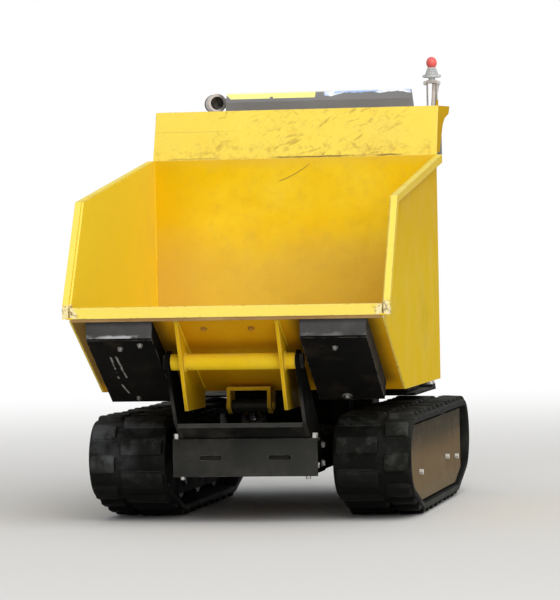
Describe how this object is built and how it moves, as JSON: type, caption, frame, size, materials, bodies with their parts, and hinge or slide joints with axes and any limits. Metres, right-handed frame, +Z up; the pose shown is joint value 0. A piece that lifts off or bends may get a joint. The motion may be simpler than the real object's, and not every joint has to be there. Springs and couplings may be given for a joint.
{
  "type": "walk-behind tracked site dumper",
  "caption": "Walk-behind site dumper on rubber tracks, with an open front-tipping skip, a telescopic tipping cylinder, a rear engine deck and handlebars.",
  "frame": {"origin": "on the ground at the middle of the machine's length and width, skip down", "axes": "+X to the machine's left, -Y to its front (the skip's lip), +Z up"},
  "size_m": [0.75, 1.56, 1.112],
  "materials": {
    "yellow_paint": "worn semi-gloss",
    "black_paint": "dusty satin",
    "box_black": "scraped satin",
    "cover_paint": "matt, caked with dust",
    "track_rubber": "worn, dusty",
    "pad_rubber": "matt",
    "grip_rubber": "matt",
    "wheel_iron": "rough",
    "cast_grey": "rough",
    "pin_steel": "zinc",
    "engine_alloy": "cast",
    "starter_plastic": "matt",
    "tank_paint": "gloss",
    "muffler_steel": "heat-stained",
    "filter_plastic": "matt",
    "console_grey": "satin",
    "lever_plastic": "gloss",
    "knob_red": "gloss",
    "tube_grey": "matt",
    "chrome_rod": "polished"
  },
  "bodies": {
    "chassis": {"track_left": "track_rubber", "track_right": "track_rubber", "wheels_left": "wheel_iron", "wheels_right": "wheel_iron", "sprocket_left": "wheel_iron", "sprocket_right": "wheel_iron", "track_frame_left": "black_paint", "track_frame_right": "black_paint", "track_cover_left": "cover_paint", "track_cover_right": "cover_paint", "main_frame": "black_paint", "upright_left": "black_paint", "upright_right": "black_paint", "bumper": "black_paint", "deck": "black_paint", "rest_pads": "pad_rubber", "frame_pins": "pin_steel", "gearbox": "cast_grey", "engine_block": "engine_alloy", "recoil_starter": "starter_plastic", "fuel_tank": "tank_paint", "muffler": "muffler_steel", "air_filter": "filter_plastic", "belt_guard": "black_paint", "oil_tank": "black_paint", "handlebar_left": "black_paint", "handlebar_right": "black_paint", "grips": "grip_rubber", "console": "console_grey", "console_levers": "lever_plastic", "tipping_valve": "cast_grey", "document_tube": "tube_grey"},
    "skip": {"skip_side_left": "yellow_paint", "skip_side_right": "yellow_paint", "skip_floor": "yellow_paint", "skip_back": "yellow_paint", "headboard": "yellow_paint", "gussets": "yellow_paint", "pivot_tube": "yellow_paint", "cylinder_bracket": "yellow_paint", "slope_box_left": "box_black", "slope_box_right": "box_black"},
    "tip_barrel": {"cylinder_barrel": "black_paint"},
    "tip_stage": {"cylinder_stage": "chrome_rod"},
    "tip_rod": {"cylinder_rod": "chrome_rod"}
  },
  "joints": [
    {"name": "skip_tip", "type": "hinge", "parent": "chassis", "child": "skip", "pos_m": [0, -0.684, 0.375], "axis": [1, 0, 0], "range_deg": [0, 70]},
    {"name": "barrel_swing", "type": "hinge", "parent": "chassis", "child": "tip_barrel", "pos_m": [0, -0.33, 0.112], "axis": [1, 0, 0], "range_deg": [-22, 0.5]},
    {"name": "stage_extend", "type": "slide", "parent": "tip_barrel", "child": "tip_stage", "axis": [0, -0.7161, 0.698], "range_m": [-0.0005, 0.10922]},
    {"name": "rod_extend", "type": "slide", "parent": "tip_stage", "child": "tip_rod", "axis": [0, -0.7161, 0.698], "range_m": [-0.0005, 0.10922]}
  ],
  "couplings": [
    {"joint": "barrel_swing", "follows": "skip_tip", "ratio": -0.3071},
    {"joint": "stage_extend", "follows": "skip_tip", "m_per_rad": 0.08899},
    {"joint": "rod_extend", "follows": "skip_tip", "m_per_rad": 0.08899}
  ]
}
